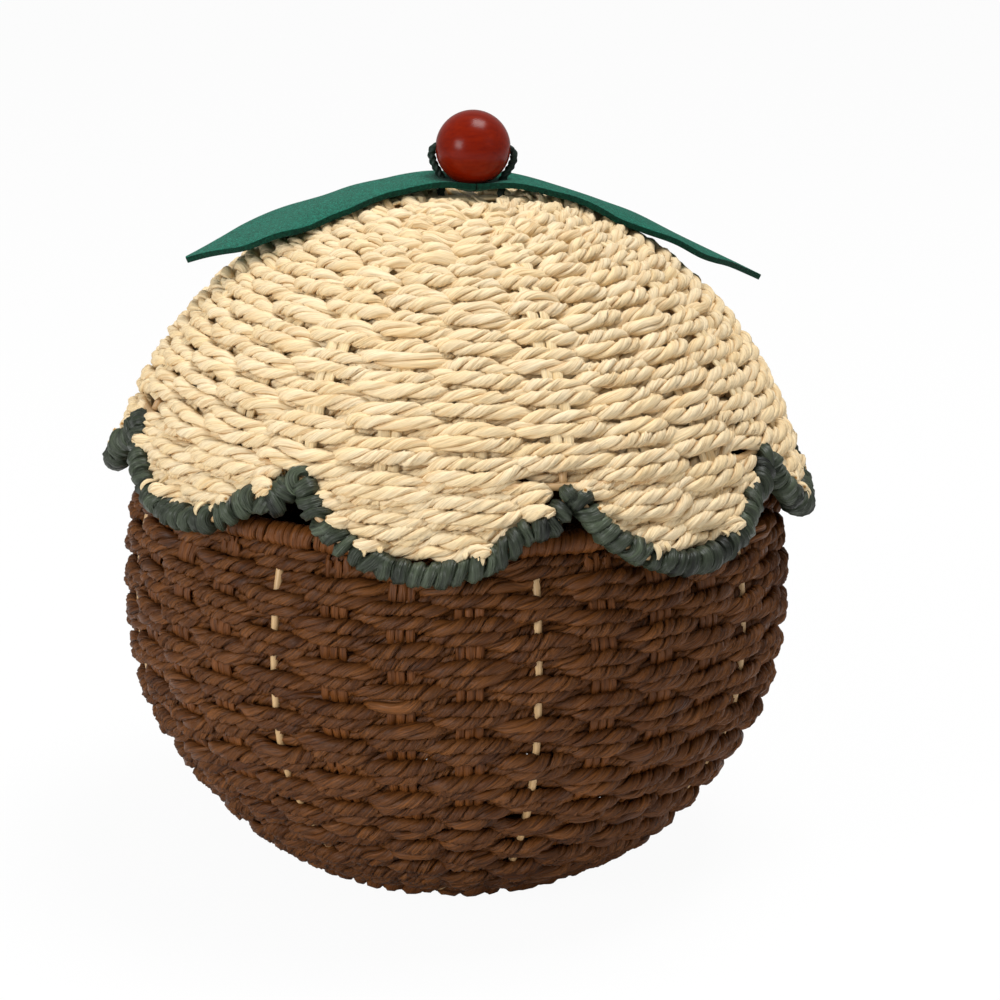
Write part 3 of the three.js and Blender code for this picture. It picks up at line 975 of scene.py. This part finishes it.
def edge_reach(place):
    """How far from the dome's centre the edge line runs."""
    return along_of(float(edge_angle(np.array([place]))[0]))


def over_winding(away):
    """How far outside the dome's line the winding's top lies, beside the edge line."""
    return EDGE_RADIUS - DOME_MIDDLE + np.sqrt(np.maximum(EDGE_OUTSIDE ** 2 - away ** 2, 0))


def edge_tail(place, turn, offset):
    """The end of a strip: it comes over the winding and is tucked in between two wraps."""
    last = rng.uniform(-0.5, 3)
    rise = np.linspace(9, last, 16)
    share = np.linspace(0, 1, 16)
    climb = 0.6 + 2.2 * np.clip((7.5 - rise) / 3, 0, 1)
    outside = np.where(rise > EDGE_OUTSIDE, climb, over_winding(rise))
    outside = outside + 0.5 - 2.2 * share ** 5
    radius, height = dome.flat(edge_reach(place) - rise, outside)
    swell = np.interp(share, [0, 0.3, 0.8, 1], [0.9, 0.8, 0.5, 0.2])
    line = np.column_stack([radius, height, offset * (1 + 0.3 * share)])
    return strand(line, math.pi / 2 + uneven(share * math.pi, 1, 2, 0.08), swell, turn=turn)


strips = []
for number, turn in uprights_of(24, VALLEY_TURN):
    start = 0.5 if number % 3 == 0 else 27
    place = number / 3
    if number % 3 == 0:
        foot, lift = along_of(math.radians(25.6)), 1.9
    else:
        foot, lift = edge_reach(place) - 6, 0.0
        strips += [edge_tail(place, turn, offset) for offset in (-1.9, 1.9)]
    strips += upright(dome, start, foot, dome_bend(number), turn, (-1.9, 1.9), lift)
settle("dome_uprights", close_ends(swept(strips, flat_strip(3.8, 1.5), STRIP_FOLDS)),
       cream_strip, "lid", "lid_weave")

for i, turn in uprights_of(8, VALLEY_TURN):
    ends = along_of(math.acos(14 / DOME_MIDDLE)), along_of(
        math.asin(VALLEY_RISE / EDGE_RADIUS) + EDGE_OUTSIDE / DOME_MIDDLE)
    settle(f"lid_rib_wire_{i + 1}", rib_wire(dome, *ends, turn), tan_wire, "lid",
           f"lid_rib_{i + 1}")

# %% [markdown]
# ## The lobes
# Below the hoop each lobe is filled with short courses. Their ropes taper where they
# start and end: about half of the ends are tucked in under the green winding, and the
# others are laid over it.

# %% Lobe courses


def lobe_route(lobe, angle, side, sign, last):
    """One rope across a lobe, at this angle above the horizontal. `last` is the share of
    the lobe's width that it may fill."""
    places = lobe + np.linspace(0, last, 241)[:-1]
    over = rng.random(2) < 0.5  # an end laid over the winding, or tucked in under it
    margin = np.where(places < lobe + 0.5, *np.where(over, 0.029, 0.012))
    inside = places[edge_angle(places) < angle - margin]
    reach = (inside[-1] - inside[0]) * math.radians(45) * EDGE_RADIUS * math.cos(angle)
    place = np.linspace(inside[0], inside[-1], max(8, int(reach / 1.6)))
    turn = np.radians(VALLEY_TURN + 45 * place)
    wave = sign * smoothed(np.cos(12 * (turn - math.radians(VALLEY_TURN))))
    share = np.linspace(0, 1, len(place))
    ends = np.minimum(share, 1 - share) * reach
    fade = np.clip(ends / 9, 0, 1)
    along = along_of(angle) + side * (1.3 + 0.8 * np.abs(wave)) * fade
    along = along + uneven(share * math.pi, 2, 8, 0.3)
    outside = (2.3 * wave + side * 0.7 * (1 - wave ** 2)) * fade + 2.0 * (1 - fade)
    cover = over_winding(0.75 * EDGE_RADIUS * (angle - edge_angle(place)))
    laid = np.where(share < 0.5, *over) * (1 - fade) ** 0.5 * (cover + 0.1)
    outside = np.maximum(outside, laid)
    twist = FULL_TURN * reach / rng.uniform(16.5, 21.5)
    taper = np.clip(0.35 + ends / 4, 0.35, 1)
    return strand(dome.place(along, outside, turn), rng.uniform(0, 6) - twist * share,
                  taper * (1 + uneven(share * math.pi, 2, 9, 0.05)))


lobe_routes = []
for lobe in range(LOBES):
    for row, angle in enumerate(np.radians([22.3, 19.4, 16.6, 13.9])):
        last = 0.95 if row == 0 else 1  # the first row stops short of the bare hoop
        for side in (-1, 1):
            sign = 1 if row % 2 == 0 else -1
            lobe_routes.append(lobe_route(lobe, angle, side, sign, last))
settle("lobe_ropes", close_ends(swept(lobe_routes, cream_outline)), cream_paper, "lid",
       "lid_weave")

# %% [markdown]
# ## The leaves
# Each leaf is cut from 2 mm felt with three soft lobes and a blunt tip. A grid is shaped
# to the outline and bent over the dome, and then solidified. Under the bead it is dented.

# %% Leaves
LEAF_WIDTH, LEAF_THICK, LEAF_GAP = 40, 2, 0.4
LEAF_SLOPE, LEAF_BEND, LEAF_DIP = 0.5, 42, 9
LEAF_CUT = 6  # degrees that the inner end's cut is askew
LEAF_OUTLINE = catmull_rom([(x, y * LEAF_WIDTH / 2) for x, y in (
    (0, 0.46), (0.12, 0.52), (0.24, 0.55), (0.31, 0.57), (0.42, 0.8), (0.51, 0.8),
    (0.64, 1), (0.78, 0.78), (0.87, 0.47), (0.94, 0.23), (1, 0.06),
)])
LEAF_UNDER_BEAD, LEAF_ON_DOME = 119.35, 122.1


def leaf_fall(s):
    return LEAF_SLOPE * (np.hypot(s, LEAF_BEND) - LEAF_BEND)


stations = np.linspace(0, 106, 17)
LEAF_TOP = float(np.max(np.sqrt(LEAF_ON_DOME ** 2 - stations ** 2) + leaf_fall(stations)))


def leaf_height(s, side, front):
    """The felt's middle: it runs down from the bead, and is dented under it. Its front half
    hangs a little towards the dome, with a waved edge."""
    dent = (LEAF_TOP - LEAF_UNDER_BEAD) * math.exp(-(s ** 2 + side ** 2) / LEAF_DIP ** 2)
    forward = max(0, side * front)
    wave = 0.6 * math.sin(s / 9 + 0.8 * math.copysign(1, side))
    ripple = wave * min(1, s / 30) * (side / LEAF_WIDTH * 2) ** 2
    ripple += 0.9 * math.sin(s / 4.6) * min(1, s / 30) * (forward / LEAF_WIDTH * 2) ** 2
    return LEAF_TOP - dent - leaf_fall(s) + ripple - forward ** 2 / 200


def make_leaf(name, turn, length, front, node):
    """The inner end is cut askew, so that the two leaves meet along one line. `front` is
    the side that faces the photograph."""
    bm = bmesh.new()
    bmesh.ops.create_grid(bm, x_segments=72, y_segments=18, size=0.5)
    skew = -front * math.tan(math.radians(LEAF_CUT))
    for vertex in bm.verts:
        share = vertex.co.x + 0.5
        half = np.interp(share, LEAF_OUTLINE[:, 0], LEAF_OUTLINE[:, 1])
        side = vertex.co.y * 2 * half
        s = share * length + (LEAF_GAP / 2 + skew * side) * max(0, 1 - share / 0.3)
        vertex.co = (s, side, float(leaf_height(s, side, front)))
    bmesh.ops.recalc_face_normals(bm, faces=bm.faces)
    bmesh.ops.rotate(bm, matrix=Matrix.Rotation(math.radians(turn), 3, "Z"), verts=bm.verts)
    bmesh.ops.scale(bm, vec=(MM, MM, MM), verts=bm.verts)
    bmesh.ops.transform(bm, matrix=lid_frame, verts=bm.verts)
    mesh = mesh_of(bm, name)
    mesh.shade_smooth()
    mesh.materials.append(green_felt)
    mesh.materials.append(green_felt_cut_painted_shade)
    piece = new_object(name, mesh)
    thick = piece.modifiers.new("thickness", "SOLIDIFY")
    # the rim, which is the cut edge, takes the second material: the painted shade
    thick.thickness, thick.offset, thick.material_offset_rim = LEAF_THICK * MM, 0, 1
    edge_round = piece.modifiers.new("cut_edge", "BEVEL")
    edge_round.width, edge_round.segments, edge_round.limit_method = 0.4 * MM, 2, "ANGLE"
    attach(piece, "lid")
    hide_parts(node)


make_leaf("felt_leaf_right", turn=17, length=106, front=-1, node="leaf_right")
make_leaf("felt_leaf_left", turn=185, length=94, front=1, node="leaf_left")

# %% [markdown]
# ## Bead, cord and knot
# The bead is turned from a profile about its bore. The cord is three twisted plies, runs
# through the bead and down both sides of it, and ends in a knot under the crown.

# %% Bead


def make_bead():
    bore, radius = 1.9, 12.5
    reach = math.acos(bore / radius)
    arc = np.linspace(-reach, reach, 33)
    profile = [(radius * math.sin(a), radius * math.cos(a)) for a in arc]
    bm = bmesh.new()
    verts = [bm.verts.new((x, 0, r)) for x, r in profile]
    edges = [bm.edges.new((a, b)) for a, b in zip(verts, verts[1:] + verts[:1])]
    bmesh.ops.spin(bm, geom=verts + edges, cent=(0, 0, 0), axis=(1, 0, 0), dvec=(0, 0, 0),
                   angle=FULL_TURN, steps=64, use_merge=True, use_duplicate=False)
    bmesh.ops.remove_doubles(bm, verts=bm.verts, dist=1e-4)
    bmesh.ops.translate(bm, vec=(0, 0, BEAD_LINE), verts=bm.verts)
    return mesh_of(bm, "bead")


settle("red_bead", close_ends(make_bead()), red_wood, "bead", "bead")

# %% Cord and knot
CROWN_INSIDE, KNOT_LINE, KNOT_RADIUS = 109.1, 103.6, 5.5
CORD_RADIUS, CORD_LAY = 1.4, 6.5  # the plies make a full turn in this length
cord_route = [(out, BEAD_LINE - drop) for out, drop in (
    (6, 0), (11.8, 0), (13.1, 0.7), (13.7, 2.4), (13.3, 4.5), (12.4, 6.5), (11.2, 8.4),
    (10.3, 10.2), (10, 12), (10, 14),
)] + [
    (10, CROWN_INSIDE + 3), (10, CROWN_INSIDE - 1), (9.4, KNOT_LINE + 1.9),
    (7.8, KNOT_LINE + 0.4), (KNOT_RADIUS - 1.5, KNOT_LINE),
]


def three_plies(radius, sides=15):
    a = whole_turn(sides)
    reach = radius * (0.86 + 0.14 * np.cos(3 * a))
    return np.column_stack([reach * np.cos(a), reach * np.sin(a)])[::-1]


def make_cord():
    """The cord is drawn lying flat, where its section cannot flip, and stood up after."""
    half = catmull_rom(cord_route, 8)
    line = np.vstack([half[::-1] * (-1, 1), half])
    run = run_of(line)
    points = np.column_stack([line, np.zeros(len(line))])
    route = strand(points, FULL_TURN * run / CORD_LAY, turn=math.pi / 2)
    print("the cord is", round(run[-1]), "mm long")
    return close_ends(swept([route], three_plies(CORD_RADIUS), 0.02))


def make_knot():
    """A trefoil of the same cord, pulled small."""
    t = whole_turn(120)
    points = np.column_stack([
        np.sin(t) + 2 * np.sin(2 * t), np.cos(t) - 2 * np.cos(2 * t), -1.6 * np.sin(3 * t),
    ]) * 1.28
    run = run_of(points)
    turns = round(run[-1] / CORD_LAY)
    mesh = swept([strand(points, np.linspace(0, FULL_TURN * turns, 120, endpoint=False),
                         closed=True)], three_plies(CORD_RADIUS), 0.02)
    mesh.transform(Matrix.Translation((0, 0, KNOT_LINE)))
    return mesh


settle("bead_cord_twisted", make_cord(), dark_cord, "lid", "bead_cord")
settle("cord_knot", make_knot(), dark_cord, "lid", "crown_knot")

# %% [markdown]
# ## Floor, light and background
# A pale floor carries the shadow. A soft lamp stands low on the left and another hangs
# overhead. A weak one on the right and a pale sky lighten the shadows. Rays straight from
# the camera see a white background, and nearly all white on the floor.

# %% Floor and world
FLOOR_GLOW = 0.95  # the share of white in what the camera sees of the floor


def make_floor():
    bm = bmesh.new()
    bmesh.ops.create_grid(bm, x_segments=1, y_segments=1, size=4)
    mesh = mesh_of(bm, "floor")
    material, tree = new_material("white_paper_floor")
    seen = add(tree, "LightPath", out="Is Camera Ray")
    matt = add(tree, "BsdfDiffuse", {"Color": (0.85, 0.85, 0.85, 1)})
    glow = add(tree, "Emission", {"Color": (1, 1, 1, 1), "Strength": 1.0})
    part = add(tree, "Math", {"operation": "MULTIPLY", 1: FLOOR_GLOW},
               n0=seen)
    mix = add(tree, "MixShader", n0=part, n1=matt, n2=glow)
    add(tree, "OutputMaterial", Surface=mix)
    mesh.materials.append(material)
    floor = new_object("floor", mesh)


def make_world(strength):
    world = bpy.data.worlds.new("studio")
    bpy.context.scene.world = world
    world.use_nodes = True
    tree = world.node_tree
    tree.nodes.clear()
    seen = add(tree, "LightPath", out="Is Camera Ray")
    sky = add(tree, "Background", {"Color": (1, 1, 1, 1), "Strength": strength})
    white = add(tree, "Background", {"Color": (1, 1, 1, 1), "Strength": 1.0})
    mix = add(tree, "MixShader", n0=seen, n1=sky, n2=white)
    add(tree, "OutputWorld", Surface=mix)


def make_lamp(name, place, aim, size, power):
    data = bpy.data.lights.new(name, "AREA")
    data.shape, data.size, data.energy = "SQUARE", size, power
    lamp = new_object(name, data)
    lamp.location = place
    lamp.rotation_euler = (Vector(aim) - Vector(place)).to_track_quat("-Z", "Y").to_euler()


make_floor()
make_world(strength=0.42)
make_lamp("key_softbox", (-1.35, -1.3, 0.72), aim=(0, 0, 0.12), size=0.7, power=22)
make_lamp("fill_softbox", (1.3, -0.9, 0.9), aim=(0, 0, 0.12), size=0.8, power=0.8)
make_lamp("top_softbox", (0.35, 0, 1.7), aim=(0, 0, 0.15), size=0.7, power=23)
bpy.context.scene.view_settings.view_transform = "Standard"

# %% [markdown]
# The CAD's box and the finished model's box are written side by side, to be compared.

# %% Finish
bpy.context.view_layer.update()
